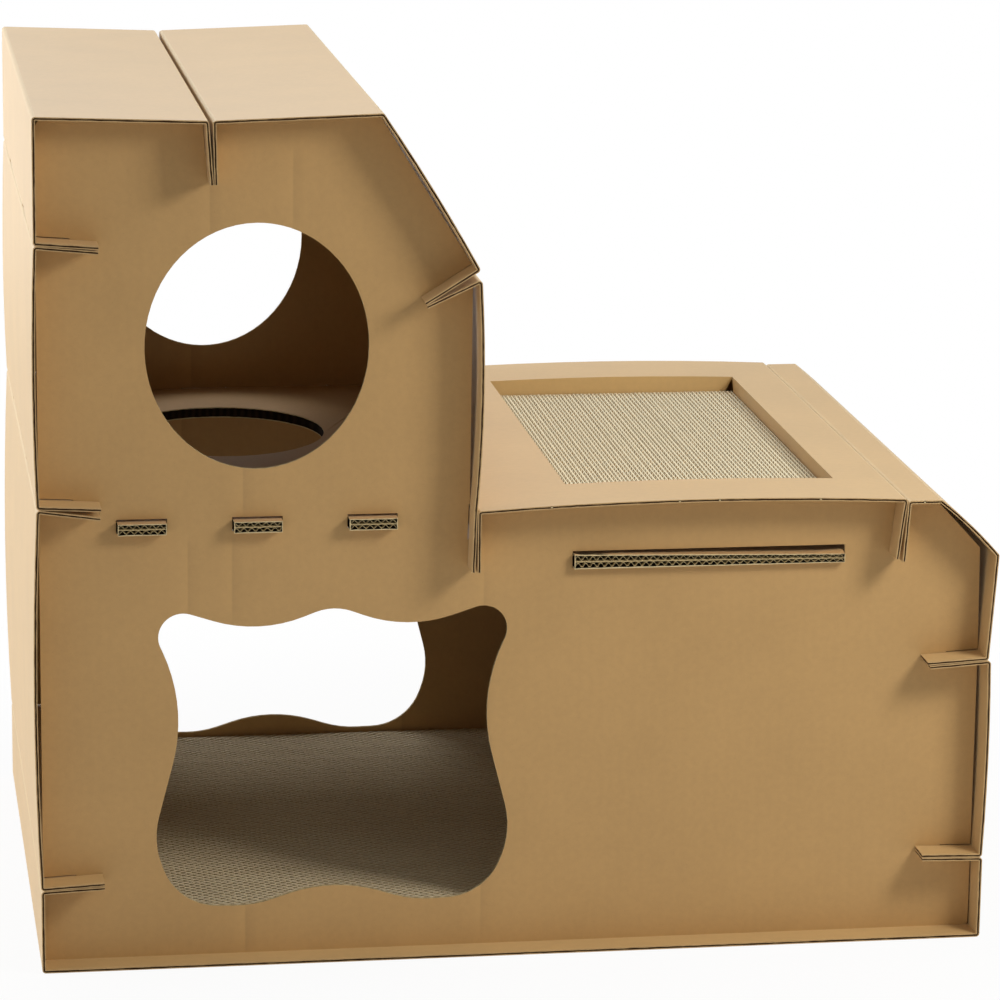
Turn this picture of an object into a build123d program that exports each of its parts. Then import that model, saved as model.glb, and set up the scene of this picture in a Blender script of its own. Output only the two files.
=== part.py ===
"""Flat-pack cat house of corrugated cardboard.

Two identical die-cut panels stand at the front and the back. Nine folded sheets
wrap round them. The end flanges of neighbouring sheets lie back to back, and
slot into the panels by half-lap joints. Inside are an upper floor with a climb
hole, a shelf that carries the roof scratching pad, and a floor scratching pad.

Axes: X to the right as seen from the front, Y from the front to the back,
Z up. The origin is the middle of the footprint, on the ground. Millimetres.
"""

from math import cos, dist, hypot, radians, sin, sqrt, tan
import os

from build123d import *

# Overall size
house_width = 700.0
house_depth = 500.0
tower_height = 627.5
lower_roof_height = 338.0

# Tower profile, measured from the left wall and down from the tower's roof. The foot of
# the slope and the head of the wall below it stand out from the inner corner
tower_width = 316.5
tower_roof_width = 247.0
slope_drop = 113.5
slope_foot_kick = 0.8
wall_head_kick = 1.8
roof_joint_x = 125.0
roof_joint_sag = 4.0

# Shoulder of the lower body, measured from the right wall and down from the lower roof.
# The sheet's elbow stands out and lies lower than the panel's
shoulder_top_run = 39.5
shoulder_drop = 41.0
shoulder_kick = 5.2
shoulder_sink = 1.5
panel_elbow_inset = 1.2
roof_shoulder_joint_run = 65.0
lower_roof_rise = 1.5

# Joints between the sheets of the side walls: those above the ground, and the
# highest one on the left, measured down from the tower's roof
left_low = 62.5
left_middle = 346.5
eave_joint_drop = 91.0
right_low = 62.5
right_high = 215.0

# How far the upper and the lower flange of each wall joint rise towards their tips, in degrees
left_low_rise = (3.0, 2.5)
left_middle_rise = (-3.0, -8.0)
eave_rise = (-4.5, -5.5)
right_low_rise = (1.4, 1.4)
right_high_rise = (-3.0, -3.5)

# How far the left and the right flange of each roof joint lean to the right, in degrees
roof_joint_lean = (4.0, 1.5)
inner_corner_lean = (-1.6, 0.0)
roof_shoulder_lean = (-7.0, -4.0)

# Board and folds, and how far the middle of a side stands out
sheet = 2.5
double_board = 8.5
fold_radius = 2.7
flange_depth = 46.0
wall_flange_gap = 0.2
roof_joint_gap = 2.5
inner_corner_gap = 0.4
roof_shoulder_gap = 0.3
slope_flange_angle = 32.0
slope_joint_gap = 6.0
left_lower_bow = 3.5
left_upper_bow = 2.0
slope_bow = 1.5
tower_wall_bow = 3.2
shoulder_bow = 1.5
right_wall_kicks = (1.8, 0.6)
right_wall_bow = 1.5
base_kick = 1.0
roof_crown = 4.5

# Panels and half-lap joints
panel_overhang = 22.5
panel_corner_radius = 2.5
eave_corner_radius = 11.0
touch_gap = 0.05
flange_play = 0.3
half_lap_depth = 24.0
lap_gap = 0.4
lap_slack = 0.8

# Openings of the panels, measured from the left wall, and the door from the ground
door_centre_x = 215.0
door_foot_height = 39.0
door_width = 258.6
door_height = 223.5
oval_centre_x = 159.5
oval_centre_drop = 170.0
oval_half_width = 80.5
oval_half_height = 89.5

# Upper floor
upper_floor_height = 322.5
climb_hole_y = 67.0
short_tab_width = 35.0
short_tab_spacing = 83.5
short_tab_reach = 8.0
tab_side_gap = 0.8
short_tab_head_room = 1.8
board_gap = 0.8

# Roof recess, measured from the ends of the lower roof, its pad and the shelf under it
recess_left_margin = 74.1
recess_right_margin = 41.85
recess_length = 372.0
recess_flap_depth = 9.5
recess_flap_taper = 6.0
pad_top_drop = 8.0
pad_shelf_side_gap = 14.0
long_tab_reach = 5.0
long_tab_head_room = 4.0
pad_thickness = 33.0
pad_gap = 1.0

# Floor pad
floor_pad_left_x = 22.0
floor_pad_width = 418.0
floor_pad_end_gap = 2.0
pad_strip = 3.0
pad_groove_depth = 0.8

# Die-cut slits along the folds of the wall joints
slit_length = 34.0
slit_height = 4.0
slit_spacing = 215.0

# Right half of the door, from the brow down to the sill. Each corner has its place, in
# shares of the door's half width and height, and the share of its shorter side that
# the rounding takes: brow, dip, ear, waist, hip, foot, sill and middle of the sill
door_corners = (
    (0.0, 1.013, 0.25),
    (0.42, 0.921, 0.6),
    (1.1, 1.049, 0.45),
    (0.822, 0.686, 0.5),
    (1.026, 0.228, 0.37),
    (0.882, 0.004, 0.55),
    (0.452, -0.002, 0.25),
    (0.0, 0.082, 0.57),
)

# Places worked out from the sizes above
middle_x = (house_width + shoulder_kick - left_lower_bow) / 2
half_depth = house_depth / 2
panel_y = half_depth - panel_overhang - sheet / 2
room_half_depth = panel_y - sheet / 2
shoulder_top_x = house_width - shoulder_top_run
roof_shoulder_joint_x = house_width - roof_shoulder_joint_run
sagged_height = tower_height - roof_joint_sag
slope_foot_height = tower_height - slope_drop
shoulder_foot_height = lower_roof_height - shoulder_drop
left_high = tower_height - eave_joint_drop
left_joints = ((left_low, left_low_rise), (left_middle, left_middle_rise), (left_high, eave_rise))
right_joints = ((right_low, right_low_rise), (right_high, right_high_rise))
oval_centre_height = tower_height - oval_centre_drop
pad_shelf_height = lower_roof_height - pad_top_drop - pad_thickness - double_board
wall_gap = wall_flange_gap / 2
roof_gap = roof_joint_gap / 2
shoulder_gap = roof_shoulder_gap / 2
slot_reach = sheet + touch_gap + half_lap_depth
lap_width = sheet + 2 * lap_gap


def at(x, height):
    """A point of the profile, given from the left wall and the ground."""
    return (x - middle_x, height)


def along(start, angle, distance, aside=0.0):
    """The point at a distance from the start, at an angle in degrees, and aside to its left."""
    across = distance * cos(radians(angle)) - aside * sin(radians(angle))
    up = distance * sin(radians(angle)) + aside * cos(radians(angle))
    return (start[0] + across, start[1] + up)


def flange_tip(corner, angle):
    """The inner end of a flange that leaves its corner at an angle in degrees."""
    return along(corner, angle, flange_depth)


def lap_joint(place, left_angle, right_angle, gap, left_play, right_play):
    """A half-lap joint, whose two flanges leave its place at their own angles.

    It holds its place, the way its flanges point, and how far its slot in the panels
    reaches to the left and to the right of that line, at its mouth and at its end.
    """
    axis = (left_angle + right_angle) / 2
    opening = slot_reach * tan(radians(left_angle - axis))
    left = sheet + gap / 2 + left_play
    right = sheet + gap / 2 + right_play
    return (place, axis, (left, left + opening), (right, right + opening))


def bowed_point(start, end, bow):
    """The point that stands out to the left from the middle of a side."""
    run = end[0] - start[0]
    rise = end[1] - start[1]
    length = hypot(run, rise)
    middle = ((start[0] + end[0]) / 2, (start[1] + end[1]) / 2)
    return (middle[0] - rise / length * bow, middle[1] + run / length * bow)


def sheet_section(corners, bows):
    """The section of a folded sheet, given the corners of its outer face.

    The corners go clockwise round the house, so the board lies on the right of
    the line. A side's bow is how far its middle stands out.
    """
    with BuildSketch() as section:
        with BuildLine() as outer_face:
            for start, end, bow in zip(corners, corners[1:], bows):
                if bow:
                    ThreePointArc(start, bowed_point(start, end, bow), end)
                else:
                    Line(start, end)
            fillet(outer_face.vertices(), fold_radius)
            offset(amount=sheet, side=Side.RIGHT)
        make_face()
    return section.sketch


def band(start, angle, reach_in, reach_out, left_side, right_side):
    """A straight four-sided band along an angle, with its own offset on each side."""
    with BuildSketch() as strip:
        with BuildLine():
            Polyline(
                along(start, angle, reach_in, left_side[0]),
                along(start, angle, reach_out, left_side[1]),
                along(start, angle, reach_out, -right_side[1]),
                along(start, angle, reach_in, -right_side[0]),
                close=True,
            )
        make_face()
    return strip.sketch


def rounding_radius(before, corner, after, share):
    """The radius of a fillet that takes up a share of the shorter side of its corner."""
    side = min(dist(before, corner), dist(corner, after))
    chord = dist(before, after)
    cosine = (dist(before, corner) ** 2 + dist(corner, after) ** 2 - chord**2) / (
        2 * dist(before, corner) * dist(corner, after)
    )
    return share * side * sqrt((1 - cosine) / (1 + cosine))


def oval(centre_x, centre_y):
    """The oval of the round window and of the climb hole."""
    with BuildSketch() as shape:
        with Locations((centre_x, centre_y)):
            Ellipse(oval_half_width, oval_half_height)
    return shape.sketch


def pad_section(length, height):
    """The section across the strips of a scratching pad, from its bottom corner.

    Each strip is one thickness of board, and a shallow groove parts it from the next.
    """
    count = round(length / pad_strip)
    pitch = length / count
    outline = [(0, 0), (length, 0), (length, height)]
    for number in range(count - 1, 0, -1):
        groove = number * pitch
        outline.append((groove + pitch / 4, height))
        outline.append((groove, height - pad_groove_depth))
        outline.append((groove - pitch / 4, height))
    outline.append((0, height))
    with BuildSketch() as section:
        with BuildLine():
            Polyline(*outline, close=True)
        make_face()
    return section.sketch


def in_roof(x):
    """The point inside the board of the crowned lower roof, above a place."""
    half_span = (roof_right[0] - roof_left[0]) / 2
    radius = (half_span**2 + roof_crown**2) / (2 * roof_crown)
    from_crest = x - (roof_left[0] + roof_right[0]) / 2
    drop = radius - sqrt((radius - sheet / 2) ** 2 - from_crest**2)
    chord = lower_roof_height + lower_roof_rise * (0.5 + from_crest / (2 * half_span))
    return (x, chord + roof_crown - drop)


# Corners where neighbouring sheets meet, the flanges half of their gap from the joint
slope_foot = at(tower_width + slope_foot_kick, slope_foot_height)
slope_angle = 180 + slope_flange_angle
inner_corner = at(tower_width, lower_roof_height)
roof_joint = at(roof_joint_x, sagged_height)
roof_shoulder_joint = at(roof_shoulder_joint_x, lower_roof_height)

# Each half-lap joint, with the slot that its flanges need in the panels
side_play = lap_slack / 2
lap_joints = []
for height, (upper, lower) in left_joints:
    place = at(0, height)
    lap_joints.append(lap_joint(place, upper, lower, wall_flange_gap, lap_slack, flange_play))
for height, (upper, lower) in right_joints:
    place = at(house_width, height)
    lap_joints.append(
        lap_joint(place, 180 - lower, 180 - upper, wall_flange_gap, flange_play, lap_slack)
    )
for place, (left, right), gap in (
    (roof_joint, roof_joint_lean, roof_joint_gap),
    (inner_corner, inner_corner_lean, 2 * inner_corner_gap),
    (roof_shoulder_joint, roof_shoulder_lean, roof_shoulder_gap),
):
    lap_joints.append(lap_joint(place, right - 90, left - 90, gap, side_play, side_play))
slope_left = (sheet + slope_joint_gap + lap_slack, sheet + slope_joint_gap / 2 + lap_slack)
slope_right = sheet + side_play
lap_joints.append((slope_foot, slope_angle, slope_left, (slope_right, slope_right)))

with BuildSketch() as lap_slots:
    for place, angle, left_side, right_side in lap_joints:
        add(band(place, angle, 0, slot_reach, left_side, right_side))

# Notches of the flanges, open at their inner end, where the panels pass through
notch_start = slot_reach - lap_gap
notch_sides = (slope_joint_gap + sheet, slope_joint_gap + sheet)
with BuildPart() as lap_notches:
    for side in (-1, 1):
        with BuildSketch(Plane.XZ.offset(side * panel_y)):
            for place, angle, left_side, right_side in lap_joints:
                add(band(place, angle, notch_start, flange_depth + sheet, notch_sides, notch_sides))
        extrude(amount=lap_width / 2, both=True)

# Slits in the folds just above each joint of the side walls
with BuildPart() as fold_slits:
    for x, joints in ((0, left_joints), (house_width, right_joints)):
        for height, rises in joints:
            centre_x, centre_height = at(x, height + wall_gap + slit_height / 2)
            with Locations((centre_x, 0, centre_height)):
                with GridLocations(0, slit_spacing, 1, 2):
                    Box(3 * sheet, slit_length, slit_height)

# Left wall, between its lower and middle joints
with BuildPart() as left_lower_wall:
    low = at(0, left_low + wall_gap)
    high = at(0, left_middle - wall_gap)
    low_tip = flange_tip(low, left_low_rise[0])
    high_tip = flange_tip(high, left_middle_rise[1])
    with BuildSketch(Plane.XZ):
        add(sheet_section((low_tip, low, high, high_tip), (0, left_lower_bow, 0)))
    extrude(amount=half_depth, both=True)
    add(lap_notches.part, mode=Mode.SUBTRACT)
    add(fold_slits.part, mode=Mode.SUBTRACT)

# Left wall, between its middle and upper joints
with BuildPart() as left_upper_wall:
    low = at(0, left_middle + wall_gap)
    high = at(0, left_high - wall_gap)
    low_tip = flange_tip(low, left_middle_rise[0])
    high_tip = flange_tip(high, eave_rise[1])
    with BuildSketch(Plane.XZ):
        add(sheet_section((low_tip, low, high, high_tip), (0, left_upper_bow, 0)))
    extrude(amount=half_depth, both=True)
    add(lap_notches.part, mode=Mode.SUBTRACT)
    add(fold_slits.part, mode=Mode.SUBTRACT)

# Left part of the tower roof, folded down over the top of the left wall
with BuildPart() as tower_roof_left:
    foot = at(0, left_high + wall_gap)
    eave = at(0, tower_height)
    ridge = at(roof_joint_x - roof_gap, sagged_height)
    foot_tip = flange_tip(foot, eave_rise[0])
    ridge_tip = flange_tip(ridge, roof_joint_lean[0] - 90)
    with BuildSketch(Plane.XZ):
        add(sheet_section((foot_tip, foot, eave, ridge, ridge_tip), (0, 0, 0, 0)))
    extrude(amount=half_depth, both=True)
    add(lap_notches.part, mode=Mode.SUBTRACT)
    add(fold_slits.part, mode=Mode.SUBTRACT)

# Right part of the tower roof, folded down over the slope
with BuildPart() as tower_roof_right:
    ridge = at(roof_joint_x + roof_gap, sagged_height)
    eave = at(tower_roof_width, tower_height)
    ridge_tip = flange_tip(ridge, roof_joint_lean[1] - 90)
    foot_tip = flange_tip(slope_foot, slope_angle)
    with BuildSketch(Plane.XZ):
        add(sheet_section((ridge_tip, ridge, eave, slope_foot, foot_tip), (0, 0, slope_bow, 0)))
    extrude(amount=half_depth, both=True)
    add(lap_notches.part, mode=Mode.SUBTRACT)

# Right wall of the tower, whose foot runs straight down into the inner corner
with BuildPart() as tower_right_wall:
    tip = along(slope_foot, slope_angle, flange_depth, wall_flange_gap)
    head = at(tower_width + wall_head_kick, slope_foot_height - slope_joint_gap)
    foot_tip = flange_tip(inner_corner, inner_corner_lean[0] - 90)
    with BuildSketch(Plane.XZ):
        add(sheet_section((tip, head, inner_corner, foot_tip), (0, tower_wall_bow, 0)))
    extrude(amount=half_depth, both=True)
    add(lap_notches.part, mode=Mode.SUBTRACT)

# Lower roof, with the recess of the roof pad
roof_left = at(tower_width + inner_corner_gap, lower_roof_height)
roof_right = at(roof_shoulder_joint_x - shoulder_gap, lower_roof_height + lower_roof_rise)
recess_left = roof_left[0] + recess_left_margin
recess_right = roof_right[0] - recess_right_margin
recess_width = recess_right - recess_left
recess_middle = (recess_left + recess_right) / 2
recess_foot = lower_roof_height - recess_flap_depth
with BuildPart() as lower_roof:
    left_tip = flange_tip(roof_left, inner_corner_lean[1] - 90)
    right_tip = flange_tip(roof_right, roof_shoulder_lean[0] - 90)
    with BuildSketch(Plane.XZ):
        add(sheet_section((left_tip, roof_left, roof_right, right_tip), (0, roof_crown, 0)))
    extrude(amount=half_depth, both=True)
    with Locations((recess_middle, 0, lower_roof_height)):
        Box(recess_width, recess_length, 2 * (roof_crown + sheet), mode=Mode.SUBTRACT)
    for side in (-1, 1):
        flap_y = side * (recess_length + sheet) / 2
        with BuildSketch(Plane.XZ.offset(flap_y)):
            with BuildLine():
                crest = ThreePointArc(*(in_roof(x) for x in (recess_left, recess_middle, recess_right)))
                Polyline(
                    crest @ 1,
                    (recess_right - recess_flap_taper, recess_foot),
                    (recess_left + recess_flap_taper, recess_foot),
                    crest @ 0,
                )
            make_face()
        extrude(amount=sheet / 2, both=True)
    for x, flap_x in ((recess_left, recess_left - sheet / 2), (recess_right, recess_right + sheet / 2)):
        crest_height = in_roof(x)[1]
        with BuildSketch(Plane.YZ.offset(flap_x)):
            with BuildLine():
                Polyline(
                    (-recess_length / 2, crest_height),
                    (recess_length / 2, crest_height),
                    (recess_length / 2 - recess_flap_taper, recess_foot),
                    (-recess_length / 2 + recess_flap_taper, recess_foot),
                    close=True,
                )
            make_face()
        extrude(amount=sheet / 2, both=True)
    add(lap_notches.part, mode=Mode.SUBTRACT)

# Shoulder, a short top, the chamfer and the upper part of the right wall
with BuildPart() as shoulder:
    top_left = at(roof_shoulder_joint_x + shoulder_gap, lower_roof_height)
    top_right = at(shoulder_top_x, lower_roof_height)
    elbow = at(house_width + shoulder_kick, shoulder_foot_height - shoulder_sink)
    foot = at(house_width, right_high + wall_gap)
    top_tip = flange_tip(top_left, roof_shoulder_lean[1] - 90)
    foot_tip = flange_tip(foot, 180 - right_high_rise[0])
    corners = (top_tip, top_left, top_right, elbow, foot, foot_tip)
    with BuildSketch(Plane.XZ):
        add(sheet_section(corners, (0, 0, shoulder_bow, 0, 0)))
    extrude(amount=half_depth, both=True)
    add(lap_notches.part, mode=Mode.SUBTRACT)
    add(fold_slits.part, mode=Mode.SUBTRACT)

# Right wall, between its two joints
with BuildPart() as right_wall:
    high = at(house_width + right_wall_kicks[0], right_high - wall_gap)
    low = at(house_width + right_wall_kicks[1], right_low + wall_gap)
    high_tip = flange_tip(high, 180 - right_high_rise[1])
    low_tip = flange_tip(low, 180 - right_low_rise[0])
    with BuildSketch(Plane.XZ):
        add(sheet_section((high_tip, high, low, low_tip), (0, right_wall_bow, 0)))
    extrude(amount=half_depth, both=True)
    add(lap_notches.part, mode=Mode.SUBTRACT)
    add(fold_slits.part, mode=Mode.SUBTRACT)

# Base, folded up at both sides
with BuildPart() as base_tray:
    right_top = at(house_width + base_kick, right_low - wall_gap)
    left_top = at(0, left_low - wall_gap)
    corners = (
        flange_tip(right_top, 180 - right_low_rise[1]),
        right_top,
        at(house_width + base_kick, 0),
        at(0, 0),
        left_top,
        flange_tip(left_top, left_low_rise[1]),
    )
    with BuildSketch(Plane.XZ):
        add(sheet_section(corners, (0, 0, 0, 0, 0)))
    extrude(amount=half_depth, both=True)
    add(lap_notches.part, mode=Mode.SUBTRACT)

# Door, drawn about its own middle
right_half = [(x * door_width / 2, y * door_height, share) for x, y, share in door_corners]
left_half = [(-x, y, share) for x, y, share in right_half[-2:0:-1]]
door_loop = right_half + left_half
door_points = [(x, y) for x, y, share in door_loop]
door_radii = []
for number, (x, y, share) in enumerate(door_loop):
    after = door_points[(number + 1) % len(door_points)]
    door_radii.append(rounding_radius(door_points[number - 1], (x, y), after, share))
with BuildSketch() as door:
    with BuildLine():
        FilletPolyline(*door_points, radius=door_radii, close=True)
    make_face()

# Panel, the same at the front and at the back
panel_foot = -touch_gap
short_tab_places = [oval_centre_x + step * short_tab_spacing for step in (-1, 0, 1)]
with BuildSketch() as panel_face:
    with BuildLine():
        Polyline(
            at(0, panel_foot),
            at(0, tower_height),
            roof_joint,
            at(tower_roof_width, tower_height),
            slope_foot,
            at(tower_width, lower_roof_height),
            at(shoulder_top_x, lower_roof_height),
            at(house_width - panel_elbow_inset, shoulder_foot_height),
            at(house_width, right_high),
            at(house_width, panel_foot),
            close=True,
        )
    make_face()
    offset(amount=-(sheet + touch_gap), kind=Kind.INTERSECTION)
    eave = at(0, tower_height)
    fillet(panel_face.vertices().sort_by_distance(eave)[1:], panel_corner_radius)
    fillet(panel_face.vertices().sort_by_distance(eave)[0], eave_corner_radius)
    add(lap_slots.sketch, mode=Mode.SUBTRACT)
    add(oval(*at(oval_centre_x, oval_centre_height)), mode=Mode.SUBTRACT)
    with Locations(at(door_centre_x, door_foot_height)):
        add(door.sketch, mode=Mode.SUBTRACT)
    with Locations(*(at(x, upper_floor_height) for x in short_tab_places)):
        Rectangle(
            short_tab_width + 2 * tab_side_gap,
            double_board + short_tab_head_room,
            align=(Align.CENTER, Align.MIN),
            mode=Mode.SUBTRACT,
        )
    with Locations((recess_middle, pad_shelf_height)):
        Rectangle(
            recess_width + 2 * tab_side_gap,
            double_board + long_tab_head_room,
            align=(Align.CENTER, Align.MIN),
            mode=Mode.SUBTRACT,
        )

with BuildPart() as front_panel:
    with BuildSketch(Plane.XZ.offset(panel_y)):
        add(panel_face.sketch)
    extrude(amount=sheet / 2, both=True)

with BuildPart() as back_panel:
    with BuildSketch(Plane.XZ.offset(-panel_y)):
        add(panel_face.sketch)
    extrude(amount=sheet / 2, both=True)

# Upper floor, with a climb hole and three tabs at the front and at the back
board_depth = 2 * (room_half_depth - board_gap)
tab_start = panel_y + sheet / 2
with BuildPart() as upper_floor:
    board_left = at(sheet + board_gap, 0)[0]
    board_right = at(tower_width - sheet - board_gap, 0)[0]
    with BuildSketch(Plane.XY.offset(upper_floor_height)):
        with Locations(((board_left + board_right) / 2, 0)):
            Rectangle(board_right - board_left, board_depth)
        with Locations(*((at(x, 0)[0], 0) for x in short_tab_places)):
            Rectangle(short_tab_width, 2 * (tab_start + short_tab_reach))
        add(oval(at(oval_centre_x, 0)[0], climb_hole_y), mode=Mode.SUBTRACT)
    extrude(amount=double_board)

# Shelf under the roof recess, with one long tab at the front and at the back
with BuildPart() as pad_shelf:
    board_left = roof_left[0] + sheet + pad_shelf_side_gap
    board_right = roof_right[0] - sheet - pad_shelf_side_gap
    with BuildSketch(Plane.XY.offset(pad_shelf_height)):
        with Locations(((board_left + board_right) / 2, 0)):
            Rectangle(board_right - board_left, board_depth)
        with Locations((recess_middle, 0)):
            Rectangle(recess_width, 2 * (tab_start + long_tab_reach))
    extrude(amount=double_board)

# Roof scratching pad, its strips run from the front to the back
with BuildPart() as roof_pad:
    with BuildSketch(Plane.XZ):
        with Locations((recess_left + pad_gap, pad_shelf_height + double_board)):
            add(pad_section(recess_width - 2 * pad_gap, pad_thickness))
    extrude(amount=recess_length / 2 - pad_gap, both=True)

# Floor scratching pad, its strips run from side to side
floor_pad_depth = 2 * (room_half_depth - floor_pad_end_gap)
with BuildPart() as floor_pad:
    with BuildSketch(Plane.YZ.offset(at(floor_pad_left_x, 0)[0])):
        with Locations((-floor_pad_depth / 2, sheet)):
            add(pad_section(floor_pad_depth, pad_thickness))
    extrude(amount=floor_pad_width)

pieces = {
    "front_panel": front_panel,
    "back_panel": back_panel,
    "base_tray": base_tray,
    "left_lower_wall": left_lower_wall,
    "left_upper_wall": left_upper_wall,
    "tower_roof_left": tower_roof_left,
    "tower_roof_right": tower_roof_right,
    "tower_right_wall": tower_right_wall,
    "lower_roof": lower_roof,
    "shoulder": shoulder,
    "right_wall": right_wall,
    "upper_floor": upper_floor,
    "pad_shelf": pad_shelf,
    "roof_pad": roof_pad,
    "floor_pad": floor_pad,
}

os.makedirs("parts", exist_ok=True)
for name, piece in pieces.items():
    piece.part.label = name
    export_step(piece.part, f"parts/{name}.step")
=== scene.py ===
"""Cardboard cat house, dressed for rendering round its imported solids.

Every sheet of the house keeps the place and outline of its solid and becomes a real
corrugated board: two liners stand proud of a dark core along each cut edge. The tabs of
the two shelves show their flutes, and the scratching pads are built strip by strip.
"""

from __future__ import annotations

import logging
import math
import random
from dataclasses import dataclass, field
from enum import Enum

import bmesh
import bpy
import numpy as np
from mathutils import Matrix, Vector
from mathutils.bvhtree import BVHTree

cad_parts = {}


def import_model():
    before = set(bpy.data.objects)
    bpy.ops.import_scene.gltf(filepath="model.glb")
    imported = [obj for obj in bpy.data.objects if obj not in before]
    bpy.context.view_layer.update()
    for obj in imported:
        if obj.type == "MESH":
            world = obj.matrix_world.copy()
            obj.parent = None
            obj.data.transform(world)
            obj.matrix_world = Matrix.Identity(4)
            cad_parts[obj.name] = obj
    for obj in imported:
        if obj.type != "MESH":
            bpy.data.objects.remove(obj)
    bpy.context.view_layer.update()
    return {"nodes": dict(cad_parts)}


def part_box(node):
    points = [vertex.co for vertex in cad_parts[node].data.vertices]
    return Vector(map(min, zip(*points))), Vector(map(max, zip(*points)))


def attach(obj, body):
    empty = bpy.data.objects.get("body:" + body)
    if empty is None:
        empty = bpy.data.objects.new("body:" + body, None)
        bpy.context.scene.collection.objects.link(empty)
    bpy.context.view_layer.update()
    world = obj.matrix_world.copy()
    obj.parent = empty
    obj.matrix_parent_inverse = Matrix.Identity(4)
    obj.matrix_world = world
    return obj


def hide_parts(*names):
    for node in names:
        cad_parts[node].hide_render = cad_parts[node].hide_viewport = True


LOG = logging.getLogger("cat_house")
MM = 0.001
BODY = "root"

PANELS = ("front_panel", "back_panel")
FOLDED_SHEETS = (
    "base_tray",
    "left_lower_wall",
    "left_upper_wall",
    "tower_roof_left",
    "tower_roof_right",
    "tower_right_wall",
    "lower_roof",
    "shoulder",
    "right_wall",
)

# Limits that tell the faces of a board apart. Points closer than SAME_POINT are one, faces
# within LEVEL are one flat face, and faces within ONE_SIDE belong to one side of the board.
SAME_POINT = 0.002 * MM
LEVEL = math.radians(0.03)
ONE_SIDE = math.radians(30)
FOLD_BEND = math.radians(5)
SHARP = math.radians(12)


class Slot(Enum):
    """The record's material slots."""

    KRAFT = "kraft_board"
    DOUBLE_WALL = "double_wall_board"
    STRIPS = "scratcher_strips"


class Part(Enum):
    """What a face of a board shows, and the place of its finish in the piece's list."""

    LINER = 0
    CUT_LINER = 1
    CORE = 2
    FOLD = 3


class StripPart(Enum):
    """What a face of a scratching pad shows, and the place of its finish in the pad's list."""

    EDGE = 0
    SIDE = 1
    CELL = 2


class Axis(Enum):
    """A level axis of the house, with its place in a coordinate."""

    X = 0
    Y = 1


def linear(colour: str) -> tuple[float, float, float, float]:
    """Turns an sRGB hex colour into the linear values that shaders take.

    Args:
        colour: Six hex digits after a hash sign.

    Returns:
        Red, green, blue and an alpha of one.
    """
    shares = [int(colour[place : place + 2], 16) / 255 for place in (1, 3, 5)]
    values = [s / 12.92 if s <= 0.04045 else ((s + 0.055) / 1.055) ** 2.4 for s in shares]
    return (values[0], values[1], values[2], 1.0)


def add_node(
    tree: bpy.types.NodeTree,
    kind: str,
    inputs: dict[str | int, object] | None = None,
    **settings: object,
) -> bpy.types.Node:
    """Adds a node with its settings, values and links.

    Args:
        tree: The tree that gets the node.
        kind: The node's type name in Blender.
        inputs: A value or an output socket for each named or numbered input.
        settings: The node's own properties.

    Returns:
        The new node.
    """
    node = tree.nodes.new(kind)
    for name, value in settings.items():
        setattr(node, name, value)
    for place, value in (inputs or {}).items():
        if isinstance(value, bpy.types.NodeSocket):
            tree.links.new(value, node.inputs[place])
        else:
            node.inputs[place].default_value = value
    return node


def new_material(name: str) -> tuple[bpy.types.Material, bpy.types.NodeTree]:
    """Makes an empty node material.

    Args:
        name: The material's name.

    Returns:
        The material and its node tree.
    """
    material = bpy.data.materials.new(name)
    material.use_nodes = True
    material.node_tree.nodes.clear()
    return material, material.node_tree


def flute_wave(
    tree: bpy.types.NodeTree, axes: bpy.types.Node, across: Axis, pitch: float
) -> bpy.types.NodeSocket:
    """Makes a wave that follows the flutes of a board.

    Args:
        tree: The material's tree.
        axes: The node that parts a place into its axes.
        across: The axis across the flutes.
        pitch: The spacing of the flutes.

    Returns:
        A value between minus one and one.
    """
    angle = add_node(
        tree,
        "ShaderNodeMath",
        {0: axes.outputs[across.value], 1: math.tau / pitch},
        operation="MULTIPLY",
    )
    return add_node(tree, "ShaderNodeMath", {0: angle.outputs[0]}, operation="SINE").outputs[0]


def end_paper(
    tree: bpy.types.NodeTree,
    tint: bpy.types.NodeSocket,
    roughness: float,
    gloss: float,
    more: dict[str, object],
) -> None:
    """Ends a material as paper, whose fibres bend light as cellulose does.

    Args:
        tree: The material's tree.
        tint: The paper's colour.
        roughness: Its roughness.
        gloss: The strength of its reflection.
        more: Further inputs of the shader.
    """
    paper = {"Base Color": tint, "Roughness": roughness, "IOR": 1.45, "Specular IOR Level": gloss}
    shader = add_node(tree, "ShaderNodeBsdfPrincipled", paper | more)
    add_node(tree, "ShaderNodeOutputMaterial", {"Surface": shader.outputs[0]})


@dataclass(frozen=True)
class Crease:
    """A faint upright line where a panel was once bent, in millimetres.

    Attributes:
        x: Its place, from the left wall.
        foot: The height of its lower end.
        head: The height of its upper end.
        painted_light_side: How far the painted highlight reaches to its left.
        painted_shade_side: How far the painted shade reaches to its right.
    """

    x: float
    foot: float
    head: float
    # The line's two sides are a painted highlight and a painted shade, with no relief.
    painted_light_side: float = 12.0
    painted_shade_side: float = 9.0


# Creases painted into the panels' colour, each a painted highlight beside a painted shade.
CREASES = (
    Crease(126, 530, 620),
    Crease(185, 542, 600),
    Crease(149, 334, 372),
    Crease(141, 255, 318),
    Crease(109, 258, 318),
    Crease(325, 5, 300),
    Crease(150, 2, 42),
)


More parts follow.
